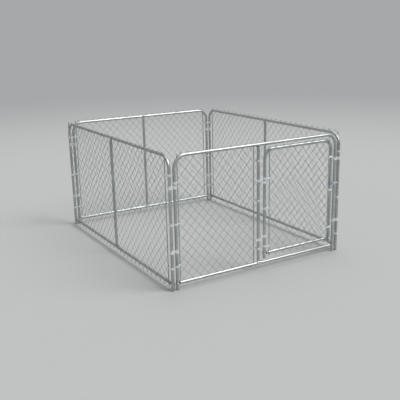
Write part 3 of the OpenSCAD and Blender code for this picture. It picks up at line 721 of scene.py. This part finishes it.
def flattened_tube(tubes, start, end, first_side, last_side):
    """Tube whose ends are pressed flat, bolted at start and end to the given sides."""
    along = (end - start).normalized()
    distance = (end - start).length
    across = Y_AXIS.cross(along)
    flat_half = tubes.wall
    seat = tubes.tube_r + tubes.fit + flat_half
    past, run, slant = tubes.flat_past, tubes.flat_run, tubes.flat_slant
    ends = [-past + FLAT_CORNER * k for k in CORNER_RINGS]
    opening = [run + slant * k / OPENING_STEPS for k in range(OPENING_STEPS + 1)]
    half_row = []
    for d in ends + opening:
        flat = 1 - eased((d - run) / slant)
        half_w = tubes.tube_r + (tubes.flat_w / 2 - tubes.tube_r) * flat
        into = (FLAT_CORNER - (d + past)) / FLAT_CORNER
        if into > 0:
            half_w -= FLAT_CORNER * (1 - math.sqrt(max(1 - into * into, 0.0)))
        half_h = tubes.tube_r + (flat_half - tubes.tube_r) * flat
        shift = seat * (1 - eased((d - run) / (slant * SEAT_SHARE)))
        half_row.append((d, half_w, half_h, shift, 1 - FLAT_SQUASH * flat**3))
    rows = [(d, w, h, s * first_side, q) for d, w, h, s, q in half_row]
    rows += [(distance - d, w, h, s * last_side, q) for d, w, h, s, q in reversed(half_row)]
    rings = []
    for d, half_w, half_h, shift, squash in rows:
        centre = start + along * d + Y_AXIS * shift
        rings.append(ring(centre, across, Y_AXIS, half_w, half_h, sides=tubes.sides, squash=squash))
    return loft(rings)


class KENNEL_OT_flattened_tubes(bpy.types.Operator):
    """Builds the bottom rails and mid posts with their pressed ends"""

    bl_idname = "kennel.flattened_tubes"
    bl_label = "Flattened tubes"

    def execute(self, context):
        tubes = context.scene.kennel.tubes
        for name, panel in PANELS.items():
            node = f"{name}_bottom_rail"
            low, high = panel.box(node)
            rail_z = (low.z + high.z) / 2
            shape = flattened_tube(tubes, Vector((0, 0, rail_z)), Vector((panel.length, 0, rail_z)), 1, 1)
            add_tube(context, panel, node, shape)
            if name == "gate":
                continue
            node = "front_hinge_post" if name == "front" else f"{name}_mid_post"
            low, high = panel.box(node)
            x = (low.x + high.x) / 2
            foot = Vector((x, 0, low.z + tubes.flat_past))
            head = Vector((x, 0, high.z - tubes.flat_past))
            shape = flattened_tube(tubes, foot, head, -1 if name == "front" else 1, 1)
            add_tube(context, panel, node, shape)
        return {"FINISHED"}


# Woven mesh

# Turns of a wire in degrees: at a hook round its neighbour, and at its bottom and top knuckles
HOOK = (-90, -45, 0, 45, 90)
BOTTOM_KNUCKLE = (-230, -185, -140, -95, -50, 0, 45, 90)
TOP_KNUCKLE = tuple(-degrees for degrees in reversed(BOTTOM_KNUCKLE))
# Width of a tension bar, room for it in a loop at its faces and its edge, and where a loop's legs draw in
BAR_W = 9.5 * MM
FACE_ROOM = 0.15 * MM
EDGE_ROOM = 0.3 * MM
LOOP_REACH = BAR_W + 3 * MM
# Points that a loop leaves off where its wire ends
LOOP_CUT = 3
# The two columns of wire that the tree repeats
REPEATED = {1, 2}


class Weave:
    """Grid of one mesh in its panel's frame: hooks at each half diamond, loops round the tension bars."""

    def __init__(self, settings, panel, name):
        self.gap, self.over, self.run = settings.hook_gap, settings.hook_over, settings.hook_run
        bars_low, bars_high = panel.box(f"{name}_tension_bars")
        low, high = panel.box(f"{name}_mesh")
        self.depth = (bars_low.y + bars_high.y) / 2
        self.bar_gap = (bars_high.y - bars_low.y) / 2 + settings.wire_r + FACE_ROOM
        past_bar = settings.wire_r + EDGE_ROOM
        self.x0, self.x1 = bars_low.x - past_bar, bars_high.x + past_bar
        end_room = settings.wire_r + settings.sway / 2 + self.run * settings.diamond_h / settings.diamond_w
        self.z0, self.z1 = low.z + end_room, high.z - end_room
        self.columns = round((self.x1 - self.x0) / (settings.diamond_w / 2))
        self.rows = round((self.z1 - self.z0) / (settings.diamond_h / 2))
        self.step_x = (self.x1 - self.x0) / self.columns
        self.step_z = (self.z1 - self.z0) / self.rows
        self.slope = self.step_z / self.step_x

    def bend(self, x, z, way, turns):
        """Hook of a wire round its neighbour: way is 1 at its right and -1 at its left."""
        points = []
        for degrees in turns:
            turn = math.radians(degrees)
            reach = (self.run + self.over) * math.cos(turn) - self.run
            side = self.gap * math.sin(turn) * way
            rise = self.run * self.slope * math.sin(turn)
            points.append(Vector((x + way * reach, self.depth + side, z + rise)))
        return points

    def loop(self, x, z, way):
        """Turn of an end wire round its tension bar; rows say how far back and aside each point is."""
        half = [
            (LOOP_REACH + 4 * MM, self.gap),
            (LOOP_REACH - 1.5 * MM, self.bar_gap),
            (2.2 * MM, self.bar_gap),
            (0.6 * MM, 0.6 * self.bar_gap),
        ]
        points = []
        for back, side in [(back, -side) for back, side in half] + [(0, 0)] + half[::-1]:
            rise = math.copysign(back, side) * self.slope
            points.append(Vector((x - way * back, self.depth + way * side, z + rise)))
        return points

    def wire(self, column):
        """Path of one upright wire from its bottom knuckle to its top knuckle."""
        path = []
        for row in range(self.rows + 1):
            at_left = (column + row) % 2 == 0
            way = -1 if at_left else 1
            x = self.x0 + self.step_x * (column if at_left else column + 1)
            z = self.z0 + self.step_z * row
            if (at_left and column == 0) or (not at_left and column == self.columns - 1):
                loop = self.loop(x, z, way)
                path += loop[LOOP_CUT:] if row == 0 else loop[:-LOOP_CUT] if row == self.rows else loop
            elif row == 0:
                path += self.bend(x, z, way, BOTTOM_KNUCKLE)
            elif row == self.rows:
                path += self.bend(x, z, way, TOP_KNUCKLE)
            else:
                path += self.bend(x, z, way, HOOK)
        return path


class KENNEL_OT_woven_mesh(bpy.types.Operator):
    """Weaves the chain link of the four panels and the gate"""

    bl_idname = "kennel.woven_mesh"
    bl_label = "Woven mesh"

    def execute(self, context):
        settings = context.scene.kennel.mesh
        material = zinc_finish(context, "galvanised wire")
        tree = woven_tree()
        for name, panel in PANELS.items():
            weave = Weave(settings, panel, name)
            pairs = (weave.columns - 2) // 2
            single = {0, weave.columns - 1} | set(range(1 + 2 * pairs, weave.columns - 1))
            points, edges, repeat = [], [], []
            for column in sorted(single | REPEATED):
                path = weave.wire(column)
                edges += [(len(points) + k, len(points) + k + 1) for k in range(len(path) - 1)]
                points += path
                repeat += [column in REPEATED and column not in single] * len(path)
            mesh = bpy.data.meshes.new(f"{name}_mesh_wires")
            mesh.from_pydata(points, edges, [])
            mesh.attributes.new("repeat", "BOOLEAN", "POINT").data.foreach_set("value", repeat)
            piece = bpy.data.objects.new(f"{name}_mesh_wires", mesh)
            context.scene.collection.objects.link(piece)
            inputs = {"Pairs": pairs, "Pitch": (2 * weave.step_x, 0.0, 0.0), "Sway": settings.sway}
            inputs |= {"Wire Radius": settings.wire_r, "Sides": settings.wire_sides, "Finish": material}
            run_tree(piece, tree, inputs)
            piece.data.transform(panel.matrix)
            finish_piece(piece, f"{name}_mesh", material, sharp=SHARP_WIRE)
        return {"FINISHED"}


# Fittings

# Rounding of the edges of the tension bars, the latch's collar and its fork
BAR_EDGE = 0.9 * MM
COLLAR_EDGE = 0.6 * MM
FORK_EDGE = 1.1 * MM
# Nodes that are dressed alike
FITTINGS = ("tension_bands", "gate_tension_bands", "panel_clamps", "post_hinges", "gate_hinges")
BOLTS = ("band_bolts", "rail_bolts", "clamp_bolts", "gate_bolts", "gate_rail_bolts", "latch_pivot_bolt")
TIES = ("wire_ties", "gate_wire_ties")
# Radius of a bolt's shank in millimetres, and rows of radius and height from the seats of its head and nut
SHANK_R = 3.2
HEAD_ROWS = ((0, -2.8), (2.4, -2.66), (4.4, -2.15), (5.8, -1.25), (6.4, -0.45), (6.5, 0), (0, 0))
NUT_ROWS = ((5.3, 0), (6.0, 0.5), (6.0, 4.5), (5.2, 5.0), (SHANK_R, 5.0))
THREAD = [(SHANK_R if k % 2 else 2.75, 4.9 + 0.35 * k) for k in range(6)]
THREAD_ROWS = [(0, 4.0), *THREAD, (0, 6.9)]
HEAD_SIDES = 20
SHANK_SIDES = 14
# A bolt's length before its seat and past its grip, and the radius that only its head goes beyond
HEAD_H = 2.8 * MM
NUT_END = 7.0 * MM
NUT_R = 6.3 * MM
# A tie's hooks: distance from the tube's axis, distance to either side, radius, and offset along the tube
TIE_REACH = 19.0 * MM
TIE_SIDE = 9 * MM
TIE_HOOK_R = 3.0 * MM
TIE_PART = 0.8 * MM
# Turns of a tie's first and last hook in degrees
FIRST_HOOK = range(150, -40, -32)
LAST_HOOK = range(-32, 160, 32)
# How far a tie goes round its tube to either side of the back in degrees, and how far it leans there
TIE_HALF_TURN = 132
TIE_LEAN = 1.4 * MM
TIE_SIDES = 7


class KENNEL_OT_fittings(bpy.types.Operator):
    """Rounds the edges of the tension bars, bands, clamps and hinges"""

    bl_idname = "kennel.fittings"
    bl_label = "Bars, bands, clamps and hinges"

    def execute(self, context):
        for name in PANELS:
            softened(context, f"{name}_tension_bars", zinc_finish(context, "galvanised tube"), BAR_EDGE)
        for node in FITTINGS:
            softened(context, node, zinc_finish(context, "zinc fittings"))
        return {"FINISHED"}


def turned(rows, sides):
    """Solid turned from rows of radius and height in millimetres."""
    return revolve([(radius * MM, height * MM) for radius, height in rows], sides)


def hex_nut():
    """Chamfered nut with the bolt's thread standing out of it."""
    rings = [ring(UP * (z * MM), X_AXIS, Y_AXIS, r * MM, sides=6) for r, z in NUT_ROWS]
    return merged([loft(rings), turned(THREAD_ROWS, SHANK_SIDES)])


class KENNEL_OT_bolts(bpy.types.Operator):
    """Puts a round-headed bolt with its nut wherever the frame has one"""

    bl_idname = "kennel.bolts"
    bl_label = "Bolts"

    def execute(self, context):
        head = new_object("bolt_head", turned(HEAD_ROWS, HEAD_SIDES))
        # A metre of shank, which the tree shortens to each bolt's grip
        metre = [(0, 0), (SHANK_R * MM, 0), (SHANK_R * MM, 1), (0, 1)]
        shank = new_object("bolt_shank", revolve(metre, SHANK_SIDES))
        nut = new_object("bolt_nut", hex_nut())
        tree = bolt_tree()
        material = zinc_finish(context, "zinc fittings")
        for node in BOLTS:
            seats, turns, grips = [], [], []
            for solid in islands(node):
                low, high = span(solid)
                size, centre = high - low, (low + high) / 2
                axis = max(range(2), key=lambda k: size[k])
                line = Vector((axis == 0, axis == 1, 0))
                broad = [p[axis] for p in solid if (p - centre).cross(line).length > NUT_R]
                way = 1 if sum(broad) / len(broad) < centre[axis] else -1
                along = Vector((0, 0, 0))
                along[axis] = way
                seats.append(centre - along * (size[axis] / 2 - HEAD_H))
                turns.append(tuple(UP.rotation_difference(along).to_euler()))
                grips.append(size[axis] - HEAD_H - NUT_END)
            piece = point_cloud(f"{node}_set", seats, turn=turns, grip=grips)
            run_tree(piece, tree, {"Head": head, "Shank": shank, "Nut": nut, "Finish": material})
            finish_piece(piece, node, material, sharp=SHARP_BOLT)
        for pattern in (head, shank, nut):
            bpy.data.objects.remove(pattern)
        return {"FINISHED"}


def tie_hook(side, turns):
    """End of a tie bent over the mesh, on one side of the tube."""
    points = []
    for degrees in turns:
        turn = math.radians(degrees)
        x = TIE_REACH + TIE_HOOK_R * math.sin(turn)
        y = TIE_SIDE - TIE_HOOK_R * math.cos(turn) + TIE_HOOK_R
        points.append(Vector((x, side * y, -side * TIE_PART)))
    return points


def tie_shape(tubes, settings):
    """Wire bent round a tube along z, with both ends hooked over the mesh at +x."""
    around = tubes.tube_r + tubes.fit + settings.tie_r
    path = tie_hook(-1, FIRST_HOOK)
    for degrees in range(TIE_HALF_TURN, -TIE_HALF_TURN - 1, -12):
        turn = math.radians(degrees - 180)
        lean = TIE_LEAN * degrees / TIE_HALF_TURN
        path.append(Vector((around * math.cos(turn), around * math.sin(turn), lean)))
    path += tie_hook(1, LAST_HOOK)
    return drawn_wire(path, settings.tie_r, TIE_SIDES)


class KENNEL_OT_wire_ties(bpy.types.Operator):
    """Bends a tie round the rail or post wherever the frame has one"""

    bl_idname = "kennel.wire_ties"
    bl_label = "Wire ties"

    def execute(self, context):
        kennel = context.scene.kennel
        pattern = new_object("tie_pattern", tie_shape(kennel.tubes, kennel.mesh))
        tree = tie_tree()
        material = zinc_finish(context, "drawn tie wire")
        outer = kennel.tubes.tube_r + kennel.tubes.fit + 2 * kennel.mesh.tie_r
        for node in TIES:
            places, turns = [], []
            for solid in islands(node):
                low, high = span(solid)
                size, middle = high - low, (low + high) / 2
                order = sorted(range(3), key=lambda k: size[k])
                along, opening = Vector((0, 0, 0)), Vector((0, 0, 0))
                along[order[0]] = 1
                mean = sum(p[order[1]] for p in solid) / len(solid)
                opening[order[1]] = 1 if mean < middle[order[1]] else -1
                back = middle - opening * (size[order[1]] / 2)
                places.append(back + opening * outer)
                basis = Matrix((opening, along.cross(opening), along)).transposed()
                turns.append(tuple(basis.to_euler()))
            piece = point_cloud(f"{node}_set", places, turn=turns)
            run_tree(piece, tree, {"Tie": pattern, "Finish": material})
            finish_piece(piece, node, material, sharp=SHARP_TIE)
        bpy.data.objects.remove(pattern)
        return {"FINISHED"}


class KENNEL_OT_latch(bpy.types.Operator):
    """Rounds the edges of the latch's collar and fork"""

    bl_idname = "kennel.latch"
    bl_label = "Latch"

    def execute(self, context):
        # The collar is dressed in painted shade, a darker and bluer tint than the fork's
        softened(context, "latch_collar", zinc_finish(context, "cast collar in painted shade"), COLLAR_EDGE)
        softened(context, "latch_fork", zinc_finish(context, "cast fork"), FORK_EDGE)
        return {"FINISHED"}


# Stage

# The floor's radius in metres and its sides, and the distances between which it fades away
FLOOR_R = 60
FLOOR_SIDES = 64
FADE_FROM = 4.0
FADE_TO = 16.0
# Width of each lamp as seen from the run, and of the camera's sensor in millimetres
LAMP_ANGLE = math.radians(36)
SENSOR_W = 36


def floor_finish(colour, surroundings):
    """Pale ground that fades into its surroundings far from the run."""
    material = bpy.data.materials.new("pale floor")
    material.use_nodes = True
    nodes, links = material.node_tree.nodes, material.node_tree.links
    shader = nodes["Principled BSDF"]
    shader.inputs["Base Color"].default_value = (*colour, 1)
    shader.inputs["Roughness"].default_value = 0.9
    place = add_node(nodes, "ShaderNodeTexCoord")
    far = add_node(nodes, "ShaderNodeVectorMath", operation="LENGTH")
    links.new(place.outputs["Object"], far.inputs[0])
    fade = add_node(nodes, "ShaderNodeMapRange", _From_Min=FADE_FROM, _From_Max=FADE_TO)
    fade.interpolation_type = "SMOOTHSTEP"
    links.new(far.outputs["Value"], fade.inputs["Value"])
    glow = add_node(nodes, "ShaderNodeEmission", _Color=(*surroundings, 1), _Strength=1.0)
    mixed = add_node(nodes, "ShaderNodeMixShader")
    links.new(fade.outputs["Result"], mixed.inputs["Fac"])
    links.new(shader.outputs["BSDF"], mixed.inputs[1])
    links.new(glow.outputs["Emission"], mixed.inputs[2])
    links.new(mixed.outputs["Shader"], nodes["Material Output"].inputs["Surface"])
    return material


def light_all_round(context, stage):
    """World whose light rises from the horizon to the zenith."""
    world = bpy.data.worlds.new("soft surroundings")
    context.scene.world = world
    world.use_nodes = True
    nodes, links = world.node_tree.nodes, world.node_tree.links
    light = nodes["Background"]
    light.inputs["Color"].default_value = (*stage.surroundings, 1)
    way = add_node(nodes, "ShaderNodeTexCoord")
    height = add_node(nodes, "ShaderNodeSeparateXYZ")
    links.new(way.outputs["Generated"], height.inputs["Vector"])
    level = add_node(nodes, "ShaderNodeMapRange", interpolation_type="SMOOTHSTEP", _From_Max=0.9)
    level.inputs["To Min"].default_value = stage.horizon
    level.inputs["To Max"].default_value = stage.zenith
    links.new(height.outputs["Z"], level.inputs["Value"])
    links.new(level.outputs["Result"], light.inputs["Strength"])


def hang_lamp(context, name, energy, source):
    """Soft lamp far away in the direction of its source."""
    lamp = bpy.data.lights.new(name, "SUN")
    lamp.energy = energy
    lamp.angle = LAMP_ANGLE
    light = bpy.data.objects.new(name, lamp)
    light.rotation_euler = Vector(source).to_track_quat("Z", "Y").to_euler()
    context.scene.collection.objects.link(light)


def set_up_camera(context, stage):
    """Camera at the eye, looking forward with the given right."""
    view = bpy.data.cameras.new("camera")
    view.sensor_width = SENSOR_W
    view.lens = stage.lens
    camera = bpy.data.objects.new("camera", view)
    back = -Vector(stage.forward).normalized()
    right = Vector(stage.right)
    right = (right - back * right.dot(back)).normalized()
    placed = Matrix((right, back.cross(right), back)).transposed().to_4x4()
    placed.translation = Vector(stage.eye)
    camera.matrix_world = placed
    context.scene.collection.objects.link(camera)
    context.scene.camera = camera


class KENNEL_OT_stage(bpy.types.Operator):
    """Lays the floor and sets up the light and the camera"""

    bl_idname = "kennel.stage"
    bl_label = "Stage"

    def execute(self, context):
        stage = context.scene.kennel.stage
        rim = ring(Vector((0, 0, 0)), X_AXIS, Y_AXIS, FLOOR_R, sides=FLOOR_SIDES)
        floor = new_object("floor", (rim, [tuple(range(FLOOR_SIDES))]))
        floor.data.materials.append(floor_finish(stage.floor, Vector(stage.surroundings) * stage.horizon))
        light_all_round(context, stage)
        hang_lamp(context, "key_light", stage.key, stage.key_from)
        hang_lamp(context, "fill_light", stage.fill, stage.fill_from)
        set_up_camera(context, stage)
        context.scene.view_settings.view_transform = "Standard"
        return {"FINISHED"}


OPERATORS = (
    KENNEL_OT_stage,
    KENNEL_OT_tube_frames,
    KENNEL_OT_flattened_tubes,
    KENNEL_OT_woven_mesh,
    KENNEL_OT_fittings,
    KENNEL_OT_bolts,
    KENNEL_OT_wire_ties,
    KENNEL_OT_latch,
)


class KENNEL_PT_sidebar(bpy.types.Panel):
    """Lists the steps that dress the run, and their settings"""

    bl_label = "Dog kennel run"
    bl_idname = "KENNEL_PT_sidebar"
    bl_space_type = "VIEW_3D"
    bl_region_type = "UI"
    bl_category = "Kennel"

    def draw(self, context):
        for operator in OPERATORS:
            self.layout.operator(operator.bl_idname)
        kennel = context.scene.kennel
        for group in (kennel.tubes, kennel.mesh, kennel.finish, kennel.stage):
            settings = self.layout.box()
            for setting in type(group).__annotations__:
                settings.prop(group, setting)


CLASSES = (KennelTubes, KennelMesh, KennelFinish, KennelStage, Kennel, *OPERATORS, KENNEL_PT_sidebar)


def register():
    for cls in CLASSES:
        bpy.utils.register_class(cls)
    bpy.types.Scene.kennel = PointerProperty(type=Kennel)


def unregister():
    del bpy.types.Scene.kennel
    for cls in reversed(CLASSES):
        bpy.utils.unregister_class(cls)


def main():
    register()
    for operator in OPERATORS:
        group, step = operator.bl_idname.split(".")
        getattr(getattr(bpy.ops, group), step)()


if __name__ == "__main__":
    main()
